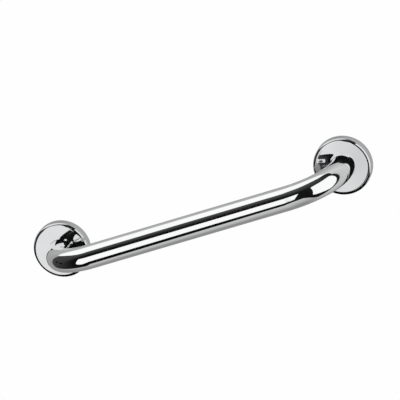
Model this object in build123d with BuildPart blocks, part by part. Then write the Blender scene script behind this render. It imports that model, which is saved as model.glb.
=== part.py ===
from build123d import *
import os

# Grab bar for a shower or bath wall. One tube is bent back to the wall at both
# ends and welded into two round wall plates. Each plate is screwed to the wall,
# and a pressed cover slides along the tube and snaps over it to hide the screws.
#
# +X runs along the bar, +Z is up, and the wall is the plane Y = 0 with the room
# on its -Y side. The origin lies on the wall, midway between the two plates.
# All sizes are in millimetres.

# Bar
centre_distance = 315.0
tube_diameter = 25.0
tube_thickness = 1.2
wall_to_axis = 65.0
bend_radius = 50.0
end_setback = 0.5  # keeps the cut ends of the tube off the wall

# Wall plates and the welds that hold the tube in them
plate_thickness = 3.0
plate_chamfer = 0.6
screw_hole_diameter = 5.5
screw_circle_diameter = 40.0
screws_per_plate = 3
tube_to_plate_clearance = 0.1
weld_leg = 2.0
weld_crown = 0.25

# Covers
cover_diameter = 60.0
cover_depth = 11.0
cover_sheet = 1.0
cover_edge_radius = 4.0
cover_to_tube_clearance = 0.2
cover_to_plate_clearance = 0.15

tube_radius = tube_diameter / 2
cover_radius = cover_diameter / 2
cover_hole_radius = tube_radius + cover_to_tube_clearance
plate_radius = cover_radius - cover_sheet - cover_to_plate_clearance

os.makedirs("parts", exist_ok=True)


def save(piece, name):
    """Labels a finished piece and writes it under its own name."""
    piece.label = name
    export_step(piece, f"parts/{name}.step")


# The bar: a straight grip with a bend at each end, swept as one hollow tube.
with BuildPart() as bar_tube:
    with BuildLine(Plane.XY) as tube_axis:
        FilletPolyline(
            (-centre_distance / 2, -end_setback),
            (-centre_distance / 2, -wall_to_axis),
            (centre_distance / 2, -wall_to_axis),
            (centre_distance / 2, -end_setback),
            radius=bend_radius,
        )
    with BuildSketch(tube_axis.line ^ 0):
        Circle(tube_radius)
        Circle(tube_radius - tube_thickness, mode=Mode.SUBTRACT)
    sweep(path=tube_axis.line)
save(bar_tube.part, "bar_tube")

# Each end of the bar has the same three pieces, mirrored so that one screw of
# each plate points away from the other plate.
for end_name, end_x, outward_angle in (
    ("left", -centre_distance / 2, 180.0),
    ("right", centre_distance / 2, 0.0),
):
    # On the wall, seen from the room, and a radial section through the end.
    wall_plane = Plane((end_x, 0, 0), x_dir=(1, 0, 0), z_dir=(0, -1, 0))
    section_plane = Plane((end_x, 0, 0), x_dir=(1, 0, 0), z_dir=(0, 0, 1))
    end_axis = Axis((end_x, 0, 0), (0, -1, 0))

    # The wall plate: a flat disc with a hole for the tube and a ring of screw holes.
    with BuildPart() as wall_plate:
        with BuildSketch(wall_plane):
            Circle(plate_radius)
            Circle(tube_radius + tube_to_plate_clearance, mode=Mode.SUBTRACT)
            with PolarLocations(screw_circle_diameter / 2, screws_per_plate, outward_angle):
                Circle(screw_hole_diameter / 2, mode=Mode.SUBTRACT)
        extrude(amount=plate_thickness)
        front_edges = wall_plate.faces().sort_by(end_axis)[-1].outer_wire().edges()
        chamfer(front_edges, plate_chamfer)
    save(wall_plate.part, f"{end_name}_wall_plate")

    # The weld: a slightly crowned fillet bead between the plate and the tube.
    with BuildPart() as weld_bead:
        with BuildSketch(section_plane):
            with BuildLine():
                bead_corner = (tube_radius, -plate_thickness)
                bead_on_plate = (tube_radius + weld_leg, -plate_thickness)
                bead_on_tube = (tube_radius, -plate_thickness - weld_leg)
                Polyline(bead_on_tube, bead_corner, bead_on_plate)
                SagittaArc(bead_on_plate, bead_on_tube, weld_crown)
            make_face()
        revolve(axis=end_axis)
    save(weld_bead.part, f"{end_name}_weld_bead")

    # The cover: a shallow pressed cup with a rounded edge, and a plain hole in its
    # flat face that the tube passes through.
    with BuildPart() as cover:
        with BuildSketch(section_plane):
            with BuildLine():
                FilletPolyline(
                    (cover_radius, 0),
                    (cover_radius, -cover_depth),
                    (cover_hole_radius, -cover_depth),
                    radius=cover_edge_radius,
                )
                offset(amount=cover_sheet, side=Side.RIGHT, closed=True)
            make_face()
        revolve(axis=end_axis)
    save(cover.part, f"{end_name}_cover")
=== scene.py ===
# %% [markdown]
# # A chromed grab bar, dressed for its photograph
#
# The shape of the bar is already made: a CAD program drew every solid, and
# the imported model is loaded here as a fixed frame. Blender adds what CAD
# doesn't have: the finish of each metal, a studio for the chrome to mirror,
# and a camera that stands where the photographer stood.
#
# A mirror has hardly any colour of its own. What we see on chrome is the
# room, bent by the shape, so half of this lesson is about the room.

# %% Load the CAD model as the fixed frame
import math

import bpy
from mathutils import Matrix, Vector


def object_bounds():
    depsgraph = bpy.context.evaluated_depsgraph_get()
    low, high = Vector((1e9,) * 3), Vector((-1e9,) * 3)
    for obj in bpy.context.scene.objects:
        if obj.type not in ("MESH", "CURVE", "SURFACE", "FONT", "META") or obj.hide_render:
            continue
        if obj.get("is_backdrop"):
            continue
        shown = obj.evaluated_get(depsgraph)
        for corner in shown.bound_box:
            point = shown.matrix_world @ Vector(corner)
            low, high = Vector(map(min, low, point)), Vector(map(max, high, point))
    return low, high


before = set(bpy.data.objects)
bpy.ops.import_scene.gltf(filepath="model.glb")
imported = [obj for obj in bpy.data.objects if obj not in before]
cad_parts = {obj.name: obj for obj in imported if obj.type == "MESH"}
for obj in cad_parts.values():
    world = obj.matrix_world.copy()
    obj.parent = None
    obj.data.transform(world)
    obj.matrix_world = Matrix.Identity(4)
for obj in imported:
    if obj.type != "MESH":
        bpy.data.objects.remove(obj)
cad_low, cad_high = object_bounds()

cad_size = Vector(cad_high) - Vector(cad_low)
print("CAD nodes:", ", ".join(sorted(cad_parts)))
print("CAD box in mm:", [round(1000 * side, 1) for side in cad_size])

# %% [markdown]
# ## The camera
#
# The photograph was taken from a little to the right of the bar and a little
# above it, from far away, so parallel edges stay almost parallel. The whole
# picture is also turned, so that the bar climbs to the right.
#
# A camera can be placed by eye in the viewport, or by numbers. Numbers are
# better here, because they were worked out from the outlines of the covers
# and the bar: an angle round the object, an angle up, a distance, and a roll
# about the line of sight.

# %% Where the camera stands
def towards(azimuth, elevation):
    """Unit vector from the bar to the room, from two angles in degrees.

    Azimuth 0 is straight out from the wall (-Y), and positive to the bar's right.
    """
    a, e = math.radians(azimuth), math.radians(elevation)
    return Vector((math.sin(a) * math.cos(e), -math.cos(a) * math.cos(e), math.sin(e)))


view_azimuth, view_elevation, view_roll = 18.29, 14.22, 21.19  # degrees
view_distance = 2.6693  # metres
back = towards(view_azimuth, view_elevation)
camera_place = back * view_distance
print("camera at", [round(v, 3) for v in camera_place])

# %% Where it looks, and how it is rolled
aim_right, aim_up = -0.00108, 0.00652  # metres from the origin to the picture's centre

level_right = Vector((0, 0, 1)).cross(back).normalized()
right = Matrix.Rotation(-math.radians(view_roll), 3, back) @ level_right
up = back.cross(right)
gaze = (right * aim_right + up * aim_up - camera_place).normalized()
camera_right = gaze.cross(up).normalized()
camera_up = camera_right.cross(gaze)
turn = Matrix((camera_right, camera_up, -gaze)).transposed().to_4x4()
print("line of sight", [round(v, 3) for v in gaze])

# %% Make the camera
focal_length, photo_width = 2600, 400  # both in pixels of the photograph
sensor_width = 36  # mm

camera_data = bpy.data.cameras.new("photo_camera")
camera_data.sensor_width = sensor_width
camera_data.lens = sensor_width * focal_length / photo_width
camera_data.clip_end = 100  # metres, beyond the far edge of the floor
camera = bpy.data.objects.new("photo_camera", camera_data)
camera.matrix_world = Matrix.Translation(camera_place) @ turn
bpy.context.scene.collection.objects.link(camera)
bpy.context.scene.camera = camera
bpy.context.scene.view_settings.view_transform = "Standard"
print(f"camera: {camera_data.lens:.0f} mm lens, {view_distance:.2f} m away")

# %% [markdown]
# ## Colours and nodes
#
# Colours are written as the hex values that a paint chart or a picture
# editor shows. Blender's shaders work in linear light, so one function turns
# a hex value to linear. A second small function adds any node, sets it and
# links it, so that each material below reads as a short list.

# %% Helpers: hex to linear, an empty material, and one that adds a node
def linear(hex_value):
    """sRGB hex, such as '#C4C5C6', to linear RGBA."""
    parts = [int(hex_value[i:i + 2], 16) / 255 for i in (1, 3, 5)]
    return [p / 12.92 if p <= 0.04045 else ((p + 0.055) / 1.055) ** 2.4 for p in parts] + [1.0]


def add(tree, kind, inputs=(), **settings):
    """Adds a node, sets its properties, and fills its inputs with values or links."""
    node = tree.nodes.new(kind)
    for name, value in settings.items():
        setattr(node, name, value)
    for name, value in dict(inputs).items():
        if isinstance(value, bpy.types.NodeSocket):
            tree.links.new(value, node.inputs[name])
        else:
            node.inputs[name].default_value = value
    return node


def new_material(name):
    """An empty node material and its tree."""
    material = bpy.data.materials.new(name)
    material.use_nodes = True
    material.node_tree.nodes.clear()
    return material, material.node_tree


print("mid grey #808080 is", round(linear("#808080")[0], 3), "in linear light")

# %% [markdown]
# ## White room and pale floor
#
# The photograph has a white background with no edge between floor and wall.
# A white world of strength 1 gives just that, and it also lights everything
# evenly from all round, as a big white tent would. The floor is a plain pale
# sheet of paper well below the bar, because the bar belongs on a wall and
# not on the floor. It is there to catch the soft shadow. The chrome doesn't
# mirror it: a grey card, hung further down this page, stands in for it.

# %% World
white = "#FFFFFF"

world = bpy.data.worlds.new("white_tent")
bpy.context.scene.world = world
world.use_nodes = True
world.node_tree.nodes.clear()
sky = add(world.node_tree, "ShaderNodeBackground", {"Color": linear(white), "Strength": 1.0})
add(world.node_tree, "ShaderNodeOutputWorld", {"Surface": sky.outputs[0]})
print(world.name, "has strength", sky.inputs["Strength"].default_value)

# %% Floor
floor_height, floor_reach = -0.9, 30.0  # metres

background_paper, tree = new_material("matt_background_paper")
paper = add(tree, "ShaderNodeBsdfDiffuse", {"Color": linear("#FEFEFE")})
add(tree, "ShaderNodeOutputMaterial", {"Surface": paper.outputs[0]})

corners = [(x * floor_reach, y * floor_reach, floor_height)
           for x, y in ((-1, -1), (1, -1), (1, 1), (-1, 1))]
floor_mesh = bpy.data.meshes.new("studio_floor")
floor_mesh.from_pydata(corners, [], [(0, 1, 2, 3)])
floor_mesh.materials.append(background_paper)
studio_floor = bpy.data.objects.new("studio_floor", floor_mesh)
studio_floor.visible_glossy = False
bpy.context.scene.collection.objects.link(studio_floor)
studio_floor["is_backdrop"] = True
print("floor at", floor_height, "m")

# %% [markdown]
# ## What the chrome mirrors
#
# A photographer hangs cards round a chrome object: white ones for the bright
# stripes, black cloth for the dark ones that draw its shape, and grey for
# everything else. The cards stand outside the picture.
#
# Each card here is a mesh grid that glows in its own shade, kept as a colour
# at each point. Area lamps could do this as well, but a lamp has one
# brightness all over, and real cards shade off. No card is brighter than
# white, and only mirror-like reflections see them, so they add no light to
# matt surfaces. A card glows on its back and is clear from its front, so that
# one can hang close to a piece and hardly show in any other.

# %% The paint of all cards, which glows on one side
card_paint, tree = new_material("studio_card")
shade = add(tree, "ShaderNodeVertexColor", layer_name="shade").outputs["Color"]
glow = add(tree, "ShaderNodeEmission", {"Color": shade, "Strength": 1.0}).outputs[0]
clear = add(tree, "ShaderNodeBsdfTransparent").outputs[0]
seen_from_back = add(tree, "ShaderNodeNewGeometry").outputs["Backfacing"]
one_sided = add(tree, "ShaderNodeMixShader", {0: seen_from_back, 1: clear, 2: glow})
add(tree, "ShaderNodeOutputMaterial", {"Surface": one_sided.outputs[0]})
print(card_paint.name, "has", len(tree.nodes), "nodes")

# %% A helper that makes a card, and prints it
def make_card(name, columns):
    """A card from columns that all have the same number of (point, shade) pairs."""
    tall = len(columns[0])
    faces = [(c * tall + r, (c + 1) * tall + r, (c + 1) * tall + r + 1, c * tall + r + 1)
             for c in range(len(columns) - 1) for r in range(tall - 1)]
    pairs = [pair for column in columns for pair in column]
    mesh = bpy.data.meshes.new(name)
    mesh.from_pydata([point for point, _ in pairs], [], faces)
    paint = mesh.color_attributes.new("shade", "FLOAT_COLOR", "POINT")
    for spot, (_, colour) in zip(paint.data, pairs):
        spot.color = colour
    mesh.materials.append(card_paint)
    card = bpy.data.objects.new(name, mesh)
    card.visible_camera = card.visible_diffuse = card.visible_shadow = False
    bpy.context.scene.collection.objects.link(card)
    card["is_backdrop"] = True
    print(f"{name}: {len(faces)} faces")


# %% A helper that hangs a shaded strip round the bar
strip_rows, strip_step = 24, 4  # faces up a strip, and degrees between its columns


def mixed(start, end, share):
    """The value that lies that share of the way from start to end, for numbers or lists."""
    if isinstance(start, list):
        return [mixed(s, e, share) for s, e in zip(start, end)]
    return start + (end - start) * share


def posts_between(stations, step):
    """The stations, and more of them mixed in between, about one step apart.

    A station starts with its angle and ends with two shades.
    """
    stations = [[*numbers, linear(one), linear(two)] for *numbers, one, two in stations]
    posts = []
    for one, two in zip(stations, stations[1:]):
        parts = max(1, round((two[0] - one[0]) / step))
        posts += [mixed(one, two, i / parts) for i in range(parts)]
    return posts + [stations[-1]]


def hang_strip(name, distance, stations):
    """A strip that many metres away, cut fine enough to stay round.

    A station is an azimuth, a top and a low elevation, and a top and a low shade.
    """
    shares = [row / strip_rows for row in range(strip_rows + 1)]
    columns = []
    for azimuth, top, low, top_shade, low_shade in posts_between(stations, strip_step):
        columns.append([(towards(azimuth, mixed(low, top, share)) * distance,
                         mixed(low_shade, top_shade, share)) for share in shares])
    make_card(name, columns)


print("a strip has", strip_rows, "rows, and a column every", strip_step, "degrees")

# %% [markdown]
# ### White panels
#
# Two panels make the long white stripe on the bar, the white of the covers'
# faces, and the white patch on the right bend. Their edges were read off the
# bends, where each point of the tube mirrors another direction.

# %% A white panel in front and one to the right
panel_distance = 5.6  # metres

hang_strip("front_panel", panel_distance, [
    (-48.5, -16, -22, white, white), (-44, 0, -29, white, white),
    (-40, 15, -31, white, white), (-25, 15.5, -27, white, white),
    (-18.5, 17, -21, white, white), (-15, 18.5, -20.5, white, "#FCFCFC"),
    (-12, 19, -19.5, white, "#F2F2F2"), (-9, 20, -18, "#F8F8F8", "#E6E6E6"),
    (0, 21, -17, white, "#FAFAFA"), (5, 21.5, -14, white, white),
    (9, 22, 0, white, white), (14, 22, 19, white, white),
])
hang_strip("side_panel", panel_distance, [
    (41, 27, -29, white, white), (43.5, 32, -37, white, white),
    (52, 34, -43, white, white), (64, 36, -46.5, white, white),
    (80, 38, -48, white, white), (90, 38.5, -48, white, white),
    (94, 37, -45, white, white),
])

# %% [markdown]
# ### Black cloth
#
# Black cloth hangs behind and between the panels. Light from above grazes
# its upper half, so that half is grey at the top and black lower down. Two
# lamp stands show on the left bend as two dark specks.

# %% Upper cloth
cloth_distance = 6.0  # metres

hang_strip("upper_cloth", cloth_distance, [
    (-115, 30, -5, "#484848", "#484848"), (-104, 38, -5, "#404040", "#404040"),
    (-90, 44.5, -5, "#404040", "#3C3C3C"), (-75, 48, 0, "#444444", "#303030"),
    (-60, 51.5, 10, "#484848", "#1C1C1C"), (-50, 55.5, 20, "#505050", "#101010"),
    (-40, 61.5, 28, "#585858", "#101010"), (-30, 68, 31, "#585858", "#101010"),
    (-18, 72, 32, "#585858", "#101010"), (0, 74, 32, "#585858", "#121212"),
    (30, 75, 32, "#505050", "#181818"), (60, 75, 35, "#484848", "#282828"),
    (90, 72, 38, "#484848", "#202020"), (101, 69, 38, "#303030", "#101010"),
    (115, 64, 46, "#303030", "#101010"), (128, 60, 56, "#404040", "#202020"),
])

# %% Lower cloth
hang_strip("lower_cloth", cloth_distance, [
    (-115, -5, -15, "#484848", "#484848"), (-104, -5, -27, "#404040", "#303030"),
    (-90, -5, -38, "#3C3C3C", "#101010"), (-75, 0, -48, "#303030", "#0C0C0C"),
    (-60, 10, -57, "#1C1C1C", "#0C0C0C"), (-50, 20, -57, "#101010", "#0C0C0C"),
    (-40, 28, -54, "#101010", "#0C0C0C"), (-30, 31, -49, "#101010", "#0C0C0C"),
    (-24, 31.5, -45, "#101010", "#0C0C0C"), (-17, 32, -38, "#101010", "#101010"),
    (0, 32, -34, "#121212", "#202020"), (20, 32, -33, "#161616", "#181818"),
    (30, 32, -44, "#181818", "#101010"), (45, 33.5, -59, "#202020", "#101010"),
    (60, 35, -67, "#282828", "#101010"), (90, 38, -73, "#202020", "#181818"),
    (104, 38, -72, "#101010", "#303030"),
])

# %% Two lamp stands just before the cloth
stand_distance = 5.9  # metres
stand_edge, stand_middle = "#101010", "#080808"

hang_strip("left_lamp_stand", stand_distance, [
    (-98, 9, 5, stand_edge, stand_edge), (-94, 11, 1, stand_middle, stand_middle),
    (-90, 7, 2, stand_edge, stand_edge),
])
hang_strip("right_lamp_stand", stand_distance, [
    (-87, 3, -2, stand_edge, stand_edge), (-82, 5, -5, stand_middle, stand_middle),
    (-78, 2, -3, stand_edge, stand_edge),
])

# %% [markdown]
# ### Grey walls and floor
#
# Behind the bar the room is a plain grey. It gives the soft grey bands along
# the upper and lower edge of the tube and round the far side of the bends.

# %% Walls behind the bar
wall_distance = 5.8  # metres

hang_strip("right_wall", wall_distance, [
    (102.5, 30, -75, "#B8B8B8", "#B4B4B4"), (107, 42, -75, "#C8C8C8", "#C0C0C0"),
    (114, 48, -75, "#CCCCCC", "#C0C0C0"), (122, 53, -75, "#D0D0D0", "#BEBEBE"),
    (129, 57, -75, "#D8D8D8", "#BABABA"), (140, 60, -75, "#CCCCCC", "#B0B0B0"),
    (180, 60, -75, "#B4B4B4", "#A0A0A0"),
])
hang_strip("left_wall", wall_distance, [
    (-180, 60, -45, "#B4B4B4", "#909090"), (-165, 60, -45, "#B0B0B0", "#909090"),
    (-148, 58, -45, "#B8B8B8", "#909090"), (-135, 46, -45, "#B4B4B4", "#909090"),
    (-120, 36, -45, "#A8A8A8", "#909090"), (-109, 31, -45, "#9C9C9C", "#909090"),
])

# %% The card that stands in for the floor
floor_card_distance, straight_down = 6.2, -90  # metres, and an elevation in degrees
below_bar = "#888888"
floor_stations = (
    (-180, -25, "#949494"), (-140, -25, "#949494"), (-110, -15, "#A4A4A4"),
    (-80, -42, "#B8B8B8"), (-50, -52, "#CCCCCC"), (-25, -40, "#D4D4D4"),
    (0, -31, "#D0D0D0"), (20, -30, "#CCCCCC"), (45, -55, "#B8B8B8"),
    (90, -70, "#A8A8A8"), (110, -60, "#B8B8B8"), (180, -25, "#A0A0A0"),
)
hang_strip("floor_card", floor_card_distance, [
    (azimuth, top, straight_down, top_shade, below_bar)
    for azimuth, top, top_shade in floor_stations])

# %% [markdown]
# ### Edge strips for the covers
#
# White chrome on a white page would lose its outline, and photographers put
# narrow strips close beside an object, just out of sight. Here a black one
# curves round the lower edge of each cover and draws the black line there: it
# is painted shade, a dark sheet that stands in for the shadow beside that
# lower edge. A white one on the upper edge thins the line that the cloth draws.

# %% A helper that bends a narrow strip round part of a cover
end_distance = 0.1575  # metres from the middle of the bar to a cover's centre
edge_step = 5  # degrees between a strip's columns


def edge_strip(name, end_x, stations):
    """A strip round a cover's axis.

    A station is an angle in degrees from +X towards +Z, the radius and Y of the
    strip's one edge and then of its other edge in mm, and the two edges' shades.
    """
    columns = []
    for angle, radius_1, y_1, radius_2, y_2, shade_1, shade_2 in posts_between(stations, edge_step):
        outward = Vector((math.cos(math.radians(angle)), 0, math.sin(math.radians(angle))))
        edges = ((radius_1, y_1, shade_1), (radius_2, y_2, shade_2))
        columns.append([(Vector((end_x, y / 1000, 0)) + outward * radius / 1000, edge_shade)
                        for radius, y, edge_shade in edges])
    make_card(name, columns)


print(f"covers' centres are {2000 * end_distance:.0f} mm apart")

# %% Black strips of painted shade beside the lower edges
beside = 31.3  # mm from the axis, just outside the rim
# Painted shade: near-black, which the lower rims mirror in place of the shadow beside them.
painted_shadow_black = "#060606"

# Each black strip is painted shade, a stand-in for the shadow beside a cover's lower edge.
edge_strip("left_painted_shadow_strip", -end_distance, [
    (140, beside, -5, beside, -10, "#B0B0B0", "#909090"),
    (160, beside, -2, beside, -10.5, "#303030", painted_shadow_black),
    (190, beside, 4, beside, -12, painted_shadow_black, painted_shadow_black),
    (225, beside, 4, beside, -16, painted_shadow_black, painted_shadow_black),
    (285, beside, 4, beside, -16, painted_shadow_black, painted_shadow_black),
])
edge_strip("right_painted_shadow_strip", end_distance, [
    (-140, beside, 4, beside, -16, painted_shadow_black, painted_shadow_black),
    (-95, beside, 4, beside, -16, painted_shadow_black, painted_shadow_black),
    (-70, beside, -6, beside, -16, painted_shadow_black, painted_shadow_black),
    (-50, beside, -9.5, beside, -16, painted_shadow_black, painted_shadow_black),
    (-37, beside, -10.5, beside, -16, "#101010", painted_shadow_black),
    (-15, beside, -11, beside, -16, "#E0E0E0", "#E0E0E0"),
])

# %% White strips before the upper edges, tapered to both ends
before, inner, tapered, wide = -14, 28.2, 28.5, 31.8  # Y and three radii, in mm

for name, end_x, angles in (("left_white_strip", -end_distance, (58, 70, 105, 118)),
                            ("right_white_strip", end_distance, (66, 80, 122, 145))):
    edge_strip(name, end_x, [(angle, outer, before, inner, before, white, white)
                             for angle, outer in zip(angles, (tapered, wide, wide, tapered))])

# %% [markdown]
# ### Small cards between the bar and the wall
#
# Each cover mirrors the inside of its own bend, and in it some more of the
# room. In the photograph the left image is mostly black, with white only to
# the right, and the right image is black with one white spot. Small cards
# hang in the space between bar and wall for this. They glow on one side, so
# that hardly anything but the covers sees them.

# %% Black cloth with a gap, behind the left bend
def wall_side_card(name, y, columns):
    """A card parallel to the wall that glows on its wall side, in mm.

    Columns go from left to right: an x, and rows of (z, shade) from the bottom up.
    """
    make_card(name, [[(Vector((x, y, z)) / 1000, linear(row_shade)) for z, row_shade in rows]
                     for x, rows in columns])


bend_cloth_y, bend_cloth_top = -46, 30  # mm
hem = ((-34, "#606060"), (-30, "#383838"), (-26, "#141414"))  # paler towards the floor
upper_edge = ((-140, 0), (-130, 7), (-124.5, 7), (-123.5, 0), (-119.5, -1))
lower_edge = ((-140, 0), (-130, -1), (-124.5, -1), (-123.5, 0), (-119.5, -1),
              (-105, -13), (-90, -20), (-80, -24))
wall_side_card("left_end_upper_cloth", bend_cloth_y, [
    (x, ((z, "#101010"), (bend_cloth_top, "#181818"))) for x, z in upper_edge])
wall_side_card("left_end_lower_cloth", bend_cloth_y, [
    (x, (*hem, (z, "#0A0A0A"))) for x, z in lower_edge])

# %% A scrap of white for the left neck
scrap_y, scrap_low, scrap_high = -60, 24, 46  # mm
scrap_sides = (-197, -176)  # mm

wall_side_card("left_neck_scrap", scrap_y, [
    (x, ((scrap_low, white), (scrap_high, white))) for x in scrap_sides])

# %% A narrow white card behind the right bend, for the spot
spot_x, spot_width = 113, 2.0  # mm
spot_edge = ((-47.5, 11), (-49, 12.8), (-50.5, 15.2),
             (-52, 17.3), (-53.8, 19.8), (-55.8, 21.8))  # y and lower z, in mm

make_card("right_end_spot", [
    [(Vector((spot_x, y, z + rise)) / 1000, linear(white)) for rise in (0, spot_width)]
    for y, z in spot_edge])

# %% [markdown]
# ## True normals for the mirrors
#
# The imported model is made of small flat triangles, with a normal at each
# corner for smooth shading. On paint that is plenty. On a mirror a normal
# that is one degree off moves the reflection by two, and the stripes wobble
# where triangles meet.
#
# More triangles would help, but the mesh belongs to the CAD model and stays
# as it is. The shapes are simple, though: a tube of one radius and a cup
# turned round an axis. So the shader works out the true normal from where a
# point lies, and uses it wherever it agrees with the triangle's own.

# %% Where a true normal is trusted
agreement = 0.9  # least cosine of the angle between the two normals


def trusted(tree, exact):
    """The exact normal where it agrees with the triangle's, else the triangle's.

    The second value is a mask that is 1 where they agree.
    """
    facet = add(tree, "ShaderNodeNewGeometry").outputs["Normal"]
    exact = add(tree, "ShaderNodeVectorMath", {0: exact}, operation="NORMALIZE").outputs[0]
    likeness = add(tree, "ShaderNodeVectorMath", {0: exact, 1: facet}, operation="DOT_PRODUCT")
    outside = add(tree, "ShaderNodeMath", {0: likeness.outputs["Value"], 1: agreement},
                  operation="GREATER_THAN").outputs[0]
    normal = add(tree, "ShaderNodeMix", {0: outside, 4: facet, 5: exact}, data_type="VECTOR")
    return normal.outputs[1], outside


print(f"normals agree within {math.degrees(math.acos(agreement)):.0f} degrees")

# %% True normal of the bent tube
straight_half, neck_length, bend_radius = 0.1075, 0.015, 0.050  # metres


def tube_normal(tree, place):
    """Points away from the nearest point of the tube's axis.

    All four quarters of the bar are folded onto one to find it.
    """
    fold = add(tree, "ShaderNodeVectorMath", {0: place}, operation="ABSOLUTE").outputs[0]
    side = add(tree, "ShaderNodeVectorMath", {0: place}, operation="SIGN").outputs[0]
    past = add(tree, "ShaderNodeVectorMath", {0: fold, 1: (straight_half, neck_length, 1)},
               operation="SUBTRACT").outputs[0]
    past = add(tree, "ShaderNodeVectorMath", {0: past, 1: (0, 0, 0)},
               operation="MAXIMUM").outputs[0]
    along = add(tree, "ShaderNodeVectorMath", {0: past}, operation="NORMALIZE").outputs[0]
    off_axis = add(tree, "ShaderNodeVectorMath", {0: along, 1: (-bend_radius,) * 3, 2: past},
                   operation="MULTIPLY_ADD").outputs[0]
    off_axis = add(tree, "ShaderNodeVectorMath", {0: fold, 1: (0, 0, 1), 2: off_axis},
                   operation="MULTIPLY_ADD").outputs[0]
    exact = add(tree, "ShaderNodeVectorMath", {0: off_axis, 1: side}, operation="MULTIPLY")
    return trusted(tree, exact.outputs[0])


print(f"tube axis: straight to {straight_half * 1000:.1f} mm, bent on {bend_radius * 1000:.0f} mm")

# %% Distance from the axis of the nearer end
def from_end_axis(tree, place):
    """The offset from the nearer end's axis, flat on the wall, and its length.

    The third value is a vector that turns left into right.
    """
    side = add(tree, "ShaderNodeVectorMath", {0: place}, operation="SIGN").outputs[0]
    side = add(tree, "ShaderNodeVectorMath", {0: side, 1: (1, 0, 0), 2: (0, 1, 1)},
               operation="MULTIPLY_ADD").outputs[0]
    fold = add(tree, "ShaderNodeVectorMath", {0: place, 1: side}, operation="MULTIPLY").outputs[0]
    offset = add(tree, "ShaderNodeVectorMath", {0: fold, 1: (end_distance, 0, 0)},
                 operation="SUBTRACT").outputs[0]
    offset = add(tree, "ShaderNodeVectorMath", {0: offset, 1: (1, 0, 1)},
                 operation="MULTIPLY").outputs[0]
    length = add(tree, "ShaderNodeVectorMath", {0: offset}, operation="LENGTH")
    return offset, length.outputs["Value"], side


print(f"end axes: {end_distance * 1000:.1f} mm either side of the middle")

# %% True normal of a cover
# The rounded edge: its radius, and its centre's distance from the axis and from the wall.
edge_radius, edge_reach, edge_height = 0.004, 0.026, 0.007  # metres
face_fall, right_lean = math.radians(1.5), math.radians(2.5)


def cover_normal(tree, place):
    """Points away from the centre line of the rounded edge, and on the face to the room.

    There it falls outwards, and the right one leans up.
    """
    offset, distance, side = from_end_axis(tree, place)
    outward = add(tree, "ShaderNodeVectorMath", {0: offset}, operation="NORMALIZE").outputs[0]
    past = add(tree, "ShaderNodeMath", {0: distance, 1: edge_reach},
               operation="SUBTRACT").outputs[0]
    past = add(tree, "ShaderNodeMath", {0: past, 1: edge_radius * math.tan(face_fall)},
               operation="MAXIMUM").outputs[0]
    wide = add(tree, "ShaderNodeVectorMath", {0: outward, "Scale": past},
               operation="SCALE").outputs[0]

    proud = add(tree, "ShaderNodeSeparateXYZ", {0: place}).outputs["Y"]
    proud = add(tree, "ShaderNodeMath", {0: proud, 1: edge_height}, operation="ADD").outputs[0]
    proud = add(tree, "ShaderNodeMath", {0: proud, 1: 0.0}, operation="MINIMUM").outputs[0]

    leans = add(tree, "ShaderNodeSeparateXYZ", {0: side}).outputs["X"]
    leans = add(tree, "ShaderNodeMath", {0: leans, 1: 0.0}, operation="GREATER_THAN").outputs[0]
    on_face = add(tree, "ShaderNodeMath", {0: distance, 1: edge_reach},
                  operation="LESS_THAN").outputs[0]
    leans = add(tree, "ShaderNodeMath", {0: leans, 1: on_face}, operation="MULTIPLY").outputs[0]
    leans = add(tree, "ShaderNodeMath", {0: leans, 1: edge_radius * math.tan(right_lean)},
                operation="MULTIPLY").outputs[0]

    proud = add(tree, "ShaderNodeCombineXYZ", {"Y": proud, "Z": leans}).outputs[0]
    exact = add(tree, "ShaderNodeVectorMath", {0: wide, 1: proud}, operation="ADD").outputs[0]
    exact = add(tree, "ShaderNodeVectorMath", {0: exact, 1: side}, operation="MULTIPLY")
    return trusted(tree, exact.outputs[0])


print(f"cover edge: {edge_radius * 1000:.0f} mm radius")
print(f"cover faces fall {math.degrees(face_fall):.1f} degrees outwards,",
      f"and the right one leans up {math.degrees(right_lean):.1f}")

# %% [markdown]
# ## Bright chrome on the tube
#
# The tube is drawn steel, polished to a mirror and plated with nickel and
# then with a film of chromium thinner than a thousandth of a millimetre. To
# the eye that is a sharp, nearly neutral mirror with a breath of blue.
#
# A plain metal shader with no roughness would look like a ray-tracing toy.
# Real plating is a touch uneven in tone over a few centimetres, wiping it dry
# leaves patches of haze, and the tube mill leaves a shallow waviness. The
# bore and the sawn ends get no plating: they are dull, dark steel.

# %% Bright chrome on polished tube: colour
tube_chrome, tree = new_material("bright_chrome_on_polished_tube")
place = add(tree, "ShaderNodeTexCoord").outputs["Object"]
normal, plated = tube_normal(tree, place)

# Plating tone, in clouds. Chromium is greyer in a laboratory; this is matched to the
# photograph's stripes.
cloud_size = 0.030  # metres
clouds = add(tree, "ShaderNodeTexNoise",
             {"Vector": place, "Scale": 1 / cloud_size, "Detail": 2.0})
tone = add(tree, "ShaderNodeMix",
           {0: clouds.outputs[0], 6: linear("#F6F7F8"), 7: linear("#FDFDFE")}, data_type="RGBA")
bare_steel = linear("#6E6C69")
colour = add(tree, "ShaderNodeMix", {0: plated, 6: bare_steel, 7: tone.outputs[2]},
             data_type="RGBA")
print(f"tube plating: clouds {1000 * cloud_size:.0f} mm across")

# %% Bright chrome on polished tube: gloss and relief
# Haze from wiping, in patches with finer marks in them.
haze_size, bare_roughness = 0.012, 0.45  # metres, and the roughness of unplated steel
haze = add(tree, "ShaderNodeTexNoise", {"Vector": place, "Scale": 1 / haze_size, "Detail": 4.0})
polish = add(tree, "ShaderNodeMapRange",
             {"Value": haze.outputs[0], "From Min": 0.3, "From Max": 0.7,
              "To Min": 0.02, "To Max": 0.05})
gloss = add(tree, "ShaderNodeMix", {0: plated, 2: bare_roughness, 3: polish.outputs[0]},
            data_type="FLOAT")

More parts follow.
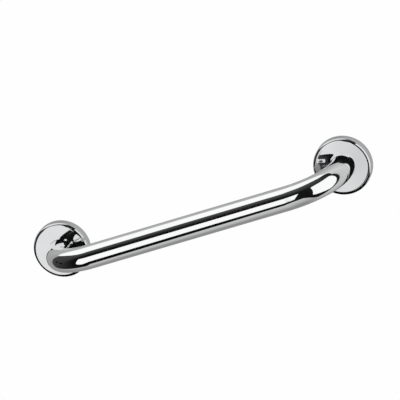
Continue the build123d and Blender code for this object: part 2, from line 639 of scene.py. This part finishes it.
# Waviness of the drawn tube: long from crest to crest, and hundredths of a millimetre deep.
wave_length, wave_depth = 0.020, 0.00003  # metres
waves = add(tree, "ShaderNodeTexNoise", {"Vector": place, "Scale": 1 / wave_length, "Detail": 0.0})
relief = add(tree, "ShaderNodeBump",
             {"Height": waves.outputs[0], "Distance": wave_depth, "Strength": 1.0,
              "Normal": normal})

metal = add(tree, "ShaderNodeBsdfPrincipled",
            {"Base Color": colour.outputs[2], "Metallic": 1.0, "Roughness": gloss.outputs[0],
             "Normal": relief.outputs[0]})
add(tree, "ShaderNodeOutputMaterial", {"Surface": metal.outputs[0]})
print(tube_chrome.name, "has", len(tree.nodes), "nodes")

# %% [markdown]
# ## Chrome on the covers
#
# Each cover is pressed from thin steel sheet and then plated. It is buffed on
# a spindle, which leaves faint rings, and the sheet under the plating isn't
# as smooth as the tube, so the covers mirror a little greyer. The press also
# leaves the face a shade lower at the edge than at the hole, and on the bar
# in the photograph the right cover sits a little askew. Both are too slight
# for the solids, but they move reflections by millimetres, so the true normal
# above holds them. Little plating gets inside a cup, so the inside and the
# cut edge at the wall are dull nickel.

# %% Bright chrome on pressed sheet: colour
cover_chrome, tree = new_material("bright_chrome_on_pressed_sheet")
place = add(tree, "ShaderNodeTexCoord").outputs["Object"]
normal, plated = cover_normal(tree, place)

cloud_size = 0.018  # metres
clouds = add(tree, "ShaderNodeTexNoise",
             {"Vector": place, "Scale": 1 / cloud_size, "Detail": 2.0})
tone = add(tree, "ShaderNodeMix",
           {0: clouds.outputs[0], 6: linear("#D8D9DA"), 7: linear("#E3E4E5")}, data_type="RGBA")
dull_nickel = linear("#8F8C84")
colour = add(tree, "ShaderNodeMix", {0: plated, 6: dull_nickel, 7: tone.outputs[2]},
             data_type="RGBA")
print(f"cover plating: clouds {1000 * cloud_size:.0f} mm across")

# %% Bright chrome on pressed sheet: gloss and relief
# Buffing rings: real ones are a tenth of a millimetre apart, drawn coarser so that they show.
ring_spacing, nickel_roughness = 0.0008, 0.4  # metres, and the roughness inside a cup
distance = from_end_axis(tree, place)[1]
turns = add(tree, "ShaderNodeMath", {0: distance, 1: 2 * math.pi / ring_spacing},
            operation="MULTIPLY")
rings = add(tree, "ShaderNodeMath", {0: turns.outputs[0]}, operation="SINE")
polish = add(tree, "ShaderNodeMapRange",
             {"Value": rings.outputs[0], "From Min": -1.0, "From Max": 1.0,
              "To Min": 0.03, "To Max": 0.05})
gloss = add(tree, "ShaderNodeMix", {0: plated, 2: nickel_roughness, 3: polish.outputs[0]},
            data_type="FLOAT")

# Orange peel of plated sheet: dimples a thousandth of a millimetre deep.
peel_size, peel_depth = 0.003, 0.000001  # metres
peel = add(tree, "ShaderNodeTexNoise", {"Vector": place, "Scale": 1 / peel_size, "Detail": 1.0})
relief = add(tree, "ShaderNodeBump",
             {"Height": peel.outputs[0], "Distance": peel_depth, "Strength": 1.0,
              "Normal": normal})

metal = add(tree, "ShaderNodeBsdfPrincipled",
            {"Base Color": colour.outputs[2], "Metallic": 1.0, "Roughness": gloss.outputs[0],
             "Normal": relief.outputs[0]})
add(tree, "ShaderNodeOutputMaterial", {"Surface": metal.outputs[0]})
print(cover_chrome.name, "has", len(tree.nodes), "nodes")

# %% [markdown]
# ## Mill-finish steel of the wall plates
#
# The plates are stamped from stainless sheet and never polished, because the
# covers hide them. Seen from the wall, the sheet keeps the fine straight
# lines of the rolls, and the heat of the weld has left a straw-brown ring
# round the tube.

# %% Stamped stainless steel, mill finish: rolling lines
plate_steel, tree = new_material("mill_finish_stainless_sheet")
place = add(tree, "ShaderNodeTexCoord").outputs["Object"]

# Real lines are a tenth of a millimetre apart, drawn coarser so that they show.
line_length, line_spacing = 0.020, 0.0006  # metres
stretched = add(tree, "ShaderNodeVectorMath",
                {0: place, 1: (1 / line_length, 1 / line_spacing, 1 / line_spacing)},
                operation="MULTIPLY")
lines = add(tree, "ShaderNodeTexNoise",
            {"Vector": stretched.outputs[0], "Scale": 1.0, "Detail": 3.0})
rolled = add(tree, "ShaderNodeMix",
             {0: lines.outputs[0], 6: linear("#94938F"), 7: linear("#BDBCB8")}, data_type="RGBA")
print(f"rolling lines {1000 * line_length:.0f} mm long, {1000 * line_spacing:.1f} mm apart")

# %% Stamped stainless steel, mill finish: heat tint
# From brown at the tube's hole, through straw, to plain steel, with a ragged edge.
tint_start, tint_end, ragged_width, ragged_size = 0.0126, 0.018, 0.002, 0.004  # metres
distance = from_end_axis(tree, place)[1]
ragged = add(tree, "ShaderNodeTexNoise",
             {"Vector": place, "Scale": 1 / ragged_size, "Detail": 2.0})
spread = add(tree, "ShaderNodeMath", {0: ragged.outputs[0], 1: ragged_width, 2: distance},
             operation="MULTIPLY_ADD")
heat = add(tree, "ShaderNodeMapRange",
           {"Value": spread.outputs[0], "From Min": tint_start + ragged_width / 2,
            "From Max": tint_end + ragged_width / 2})
tint = add(tree, "ShaderNodeValToRGB", {0: heat.outputs[0]})
tint.color_ramp.elements[0].color = linear("#8A7458")
tint.color_ramp.elements[1].color = linear(white)
tint.color_ramp.elements.new(0.45).color = linear("#E2CDA0")
colour = add(tree, "ShaderNodeMix", {0: 1.0, 6: rolled.outputs[2], 7: tint.outputs[0]},
             data_type="RGBA", blend_type="MULTIPLY")
print(f"heat tint from {1000 * tint_start:.1f} to {1000 * tint_end:.0f} mm from the axis")

# %% Stamped stainless steel, mill finish: gloss and relief
line_depth = 0.00001  # metres
gloss = add(tree, "ShaderNodeMapRange",
            {"Value": lines.outputs[0], "To Min": 0.42, "To Max": 0.28})
relief = add(tree, "ShaderNodeBump",
             {"Height": lines.outputs[0], "Distance": line_depth, "Strength": 1.0})
metal = add(tree, "ShaderNodeBsdfPrincipled",
            {"Base Color": colour.outputs[2], "Metallic": 1.0, "Roughness": gloss.outputs[0],
             "Normal": relief.outputs[0]})
add(tree, "ShaderNodeOutputMaterial", {"Surface": metal.outputs[0]})
print(plate_steel.name, "has", len(tree.nodes), "nodes")

# %% [markdown]
# ## Weld beads
#
# The tube is joined to each plate by one run of weld, brushed with a wire
# brush afterwards. A run of weld is a row of overlapping ripples, one for
# each pulse of the torch, and the hot metal keeps straw and violet tints.
# The covers hide the beads, so a plain grey would pass, but a part from a
# library may be shown with its covers off.

# %% Wire-brushed weld metal: ripples
weld_steel, tree = new_material("wire_brushed_weld_metal")
place = add(tree, "ShaderNodeTexCoord").outputs["Object"]

# The middle of a bead lies bead_radius from the axis.
bead_radius, ripple_spacing, waver_size = 0.0135, 0.0012, 0.003  # metres
ripples_round = round(2 * math.pi * bead_radius / ripple_spacing)
offset = from_end_axis(tree, place)[0]
split = add(tree, "ShaderNodeSeparateXYZ", {0: offset})
angle = add(tree, "ShaderNodeMath", {0: split.outputs["Z"], 1: split.outputs["X"]},
            operation="ARCTAN2")
waver = add(tree, "ShaderNodeTexNoise", {"Vector": place, "Scale": 1 / waver_size, "Detail": 1.0})
phase = add(tree, "ShaderNodeMath",
            {0: angle.outputs[0], 1: float(ripples_round), 2: waver.outputs[0]},
            operation="MULTIPLY_ADD")
ripples = add(tree, "ShaderNodeMath", {0: phase.outputs[0]}, operation="SINE")
print(ripples_round, "ripples round each bead")

# %% Wire-brushed weld metal: tint, gloss and relief
ripple_depth = 0.00008  # metres
tint = add(tree, "ShaderNodeValToRGB", {0: waver.outputs[0]})
tint.color_ramp.elements[0].color = linear("#7C7480")
tint.color_ramp.elements[1].color = linear("#B3A48A")
tint.color_ramp.elements.new(0.5).color = linear("#9A9793")
gloss = add(tree, "ShaderNodeMapRange",
            {"Value": ripples.outputs[0], "From Min": -1.0, "From Max": 1.0,
             "To Min": 0.5, "To Max": 0.3})
relief = add(tree, "ShaderNodeBump",
             {"Height": ripples.outputs[0], "Distance": ripple_depth, "Strength": 1.0})
metal = add(tree, "ShaderNodeBsdfPrincipled",
            {"Base Color": tint.outputs[0], "Metallic": 1.0, "Roughness": gloss.outputs[0],
             "Normal": relief.outputs[0]})
add(tree, "ShaderNodeOutputMaterial", {"Surface": metal.outputs[0]})
print(weld_steel.name, "has", len(tree.nodes), "nodes")

# %% [markdown]
# ## Dressing the pieces
#
# Every solid keeps its shape and place. Only the material in its slot changes.

# %% Give each CAD node its finish
finishes = {"tube": tube_chrome, "cover": cover_chrome, "plate": plate_steel, "bead": weld_steel}
for name, node in sorted(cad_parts.items()):
    for slot in node.material_slots:
        slot.material = finishes[name.rsplit("_", 1)[-1]]
    print(name, "->", [slot.material.name for slot in node.material_slots])

# %% Print the visual box and finish
visual_low, visual_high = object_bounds()
visual_size = Vector(visual_high) - Vector(visual_low)
print("visual box in mm:", [round(1000 * side, 1) for side in visual_size])
